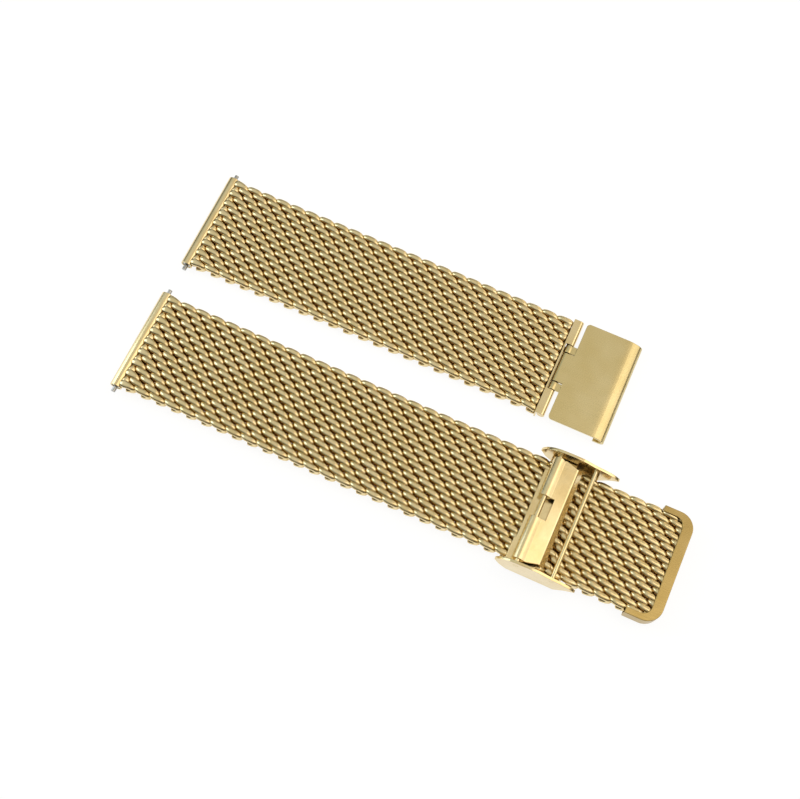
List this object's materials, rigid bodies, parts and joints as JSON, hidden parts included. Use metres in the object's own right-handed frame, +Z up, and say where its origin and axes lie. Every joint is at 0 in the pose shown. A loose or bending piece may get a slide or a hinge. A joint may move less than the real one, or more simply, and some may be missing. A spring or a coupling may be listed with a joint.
{
  "type": "milanese mesh watch band",
  "caption": "Woven gold mesh watch band in two halves, with a sliding clasp, lock lever, clamp plate and hinged cover plate",
  "frame": {"origin": "middle of the whole band's box, on the surface it lies on", "axes": "+X from the watch ends along the straps to the clasp end, +Y from the long half to the short half, +Z up, out of the face that shows"},
  "size_m": [0.1052, 0.0492, 0.0067],
  "materials": {
    "woven_gold_wire": "satin gold plated stainless wire, woven",
    "polished_gold_steel": "polished gold plated stainless steel",
    "brushed_gold_steel": "brushed gold plated stainless steel",
    "plain_steel": "plain stainless steel"
  },
  "bodies": {
    "root": {"long_end_tube": "polished_gold_steel", "long_spring_bar_sleeve": "plain_steel", "long_spring_bar_spring": "plain_steel", "long_mesh_01": "woven_gold_wire"},
    "long_tip_near": {"long_spring_bar_tip_near": "plain_steel"},
    "long_tip_far": {"long_spring_bar_tip_far": "plain_steel"},
    "long_mesh_02": {"long_mesh_02": "woven_gold_wire"},
    "long_mesh_03": {"long_mesh_03": "woven_gold_wire"},
    "long_mesh_04": {"long_mesh_04": "woven_gold_wire"},
    "long_mesh_05": {"long_mesh_05": "woven_gold_wire"},
    "long_mesh_06": {"long_mesh_06": "woven_gold_wire"},
    "long_mesh_07": {"long_mesh_07": "woven_gold_wire"},
    "long_mesh_08": {"long_mesh_08": "woven_gold_wire"},
    "long_tail": {"long_mesh_tail": "woven_gold_wire", "end_cap": "brushed_gold_steel"},
    "clasp": {"clasp_frame": "polished_gold_steel", "lever_pin": "polished_gold_steel", "hook_bar": "polished_gold_steel"},
    "lever": {"lock_lever": "brushed_gold_steel"},
    "clamp": {"clamp_plate": "brushed_gold_steel"},
    "short_base": {"short_end_tube": "polished_gold_steel", "short_spring_bar_sleeve": "plain_steel", "short_spring_bar_spring": "plain_steel", "short_mesh_01": "woven_gold_wire"},
    "short_tip_near": {"short_spring_bar_tip_near": "plain_steel"},
    "short_tip_far": {"short_spring_bar_tip_far": "plain_steel"},
    "short_mesh_02": {"short_mesh_02": "woven_gold_wire"},
    "short_mesh_03": {"short_mesh_03": "woven_gold_wire"},
    "short_mesh_04": {"short_mesh_04": "woven_gold_wire"},
    "short_mesh_05": {"short_mesh_05": "woven_gold_wire"},
    "short_mesh_06": {"short_mesh_06": "woven_gold_wire"},
    "short_mesh_07": {"short_mesh_07": "woven_gold_wire"},
    "short_mesh_08": {"short_mesh_08": "woven_gold_wire"},
    "short_mesh_09": {"short_mesh_09": "woven_gold_wire"},
    "short_mesh_10": {"short_mesh_10": "woven_gold_wire"},
    "short_end": {"short_mesh_11": "woven_gold_wire", "hinge_leaf": "polished_gold_steel", "hinge_pin": "polished_gold_steel"},
    "cover": {"cover_plate": "brushed_gold_steel"}
  },
  "joints": [
    {"name": "long_tip_near_slide", "type": "slide", "parent": "root", "child": "long_tip_near", "axis": [0, 1, 0], "range_m": [0, 0.0012], "stiffness_N_per_m": 60, "springref_m": -0.0012, "deforming": ["long_spring_bar_spring"]},
    {"name": "long_tip_far_slide", "type": "slide", "parent": "root", "child": "long_tip_far", "axis": [0, -1, 0], "range_m": [0, 0.0012], "stiffness_N_per_m": 60, "springref_m": -0.0012, "deforming": ["long_spring_bar_spring"]},
    {"name": "long_flex_01", "type": "hinge", "parent": "root", "child": "long_mesh_02", "pos_m": [-0.04428, -0.01355, 0.0018], "axis": [0, -1, 0], "range_deg": [-15, 15]},
    {"name": "long_flex_02", "type": "hinge", "parent": "long_mesh_02", "child": "long_mesh_03", "pos_m": [-0.03816, -0.01355, 0.0018], "axis": [0, -1, 0], "range_deg": [-15, 15]},
    {"name": "long_flex_03", "type": "hinge", "parent": "long_mesh_03", "child": "long_mesh_04", "pos_m": [-0.03204, -0.01355, 0.0018], "axis": [0, -1, 0], "range_deg": [-15, 15]},
    {"name": "long_flex_04", "type": "hinge", "parent": "long_mesh_04", "child": "long_mesh_05", "pos_m": [-0.02592, -0.01355, 0.0018], "axis": [0, -1, 0], "range_deg": [-15, 15]},
    {"name": "long_flex_05", "type": "hinge", "parent": "long_mesh_05", "child": "long_mesh_06", "pos_m": [-0.0198, -0.01355, 0.0018], "axis": [0, -1, 0], "range_deg": [-15, 15]},
    {"name": "long_flex_06", "type": "hinge", "parent": "long_mesh_06", "child": "long_mesh_07", "pos_m": [-0.01368, -0.01355, 0.0018], "axis": [0, -1, 0], "range_deg": [-15, 15]},
    {"name": "long_flex_07", "type": "hinge", "parent": "long_mesh_07", "child": "long_mesh_08", "pos_m": [-0.00756, -0.01355, 0.0018], "axis": [0, -1, 0], "range_deg": [-15, 15]},
    {"name": "long_flex_08", "type": "hinge", "parent": "long_mesh_08", "child": "long_tail", "pos_m": [-0.00144, -0.01355, 0.0018], "axis": [0, -1, 0], "range_deg": [-15, 15]},
    {"name": "clasp_slide", "type": "slide", "parent": "long_tail", "child": "clasp", "axis": [1, 0, 0], "range_m": [-0.02, 0.0085]},
    {"name": "lever_hinge", "type": "hinge", "parent": "clasp", "child": "lever", "pos_m": [0.02665, -0.01355, 0.005], "axis": [0, -1, 0], "range_deg": [0, 100]},
    {"name": "clamp_lift", "type": "slide", "parent": "clasp", "child": "clamp", "axis": [0, 0, 1], "range_m": [0, 0.0002]},
    {"name": "short_half_lift", "type": "slide", "parent": "root", "child": "short_base", "axis": [0, 0, 1], "range_m": [0, 0.04]},
    {"name": "short_tip_near_slide", "type": "slide", "parent": "short_base", "child": "short_tip_near", "axis": [0, 1, 0], "range_m": [0, 0.0012], "stiffness_N_per_m": 60, "springref_m": -0.0012, "deforming": ["short_spring_bar_spring"]},
    {"name": "short_tip_far_slide", "type": "slide", "parent": "short_base", "child": "short_tip_far", "axis": [0, -1, 0], "range_m": [0, 0.0012], "stiffness_N_per_m": 60, "springref_m": -0.0012, "deforming": ["short_spring_bar_spring"]},
    {"name": "short_flex_01", "type": "hinge", "parent": "short_base", "child": "short_mesh_02", "pos_m": [-0.04428, 0.01355, 0.0012], "axis": [0, -1, 0], "range_deg": [-15, 15]},
    {"name": "short_flex_02", "type": "hinge", "parent": "short_mesh_02", "child": "short_mesh_03", "pos_m": [-0.03816, 0.01355, 0.0012], "axis": [0, -1, 0], "range_deg": [-15, 15]},
    {"name": "short_flex_03", "type": "hinge", "parent": "short_mesh_03", "child": "short_mesh_04", "pos_m": [-0.03204, 0.01355, 0.0012], "axis": [0, -1, 0], "range_deg": [-15, 15]},
    {"name": "short_flex_04", "type": "hinge", "parent": "short_mesh_04", "child": "short_mesh_05", "pos_m": [-0.02592, 0.01355, 0.0012], "axis": [0, -1, 0], "range_deg": [-15, 15]},
    {"name": "short_flex_05", "type": "hinge", "parent": "short_mesh_05", "child": "short_mesh_06", "pos_m": [-0.0198, 0.01355, 0.0012], "axis": [0, -1, 0], "range_deg": [-15, 15]},
    {"name": "short_flex_06", "type": "hinge", "parent": "short_mesh_06", "child": "short_mesh_07", "pos_m": [-0.01368, 0.01355, 0.0012], "axis": [0, -1, 0], "range_deg": [-15, 15]},
    {"name": "short_flex_07", "type": "hinge", "parent": "short_mesh_07", "child": "short_mesh_08", "pos_m": [-0.00756, 0.01355, 0.0012], "axis": [0, -1, 0], "range_deg": [-15, 15]},
    {"name": "short_flex_08", "type": "hinge", "parent": "short_mesh_08", "child": "short_mesh_09", "pos_m": [-0.00144, 0.01355, 0.0012], "axis": [0, -1, 0], "range_deg": [-15, 15]},
    {"name": "short_flex_09", "type": "hinge", "parent": "short_mesh_09", "child": "short_mesh_10", "pos_m": [0.00468, 0.01355, 0.0012], "axis": [0, -1, 0], "range_deg": [-15, 15]},
    {"name": "short_flex_10", "type": "hinge", "parent": "short_mesh_10", "child": "short_end", "pos_m": [0.0108, 0.01355, 0.0012], "axis": [0, -1, 0], "range_deg": [-15, 15]},
    {"name": "cover_hinge", "type": "hinge", "parent": "short_end", "child": "cover", "pos_m": [0.02035, 0.01355, 0.00168], "axis": [0, -1, 0], "range_deg": [-90, 75]}
  ],
  "couplings": [
    {"joint": "lever_hinge", "follows": "clamp_lift", "rad_per_m": 8700}
  ]
}
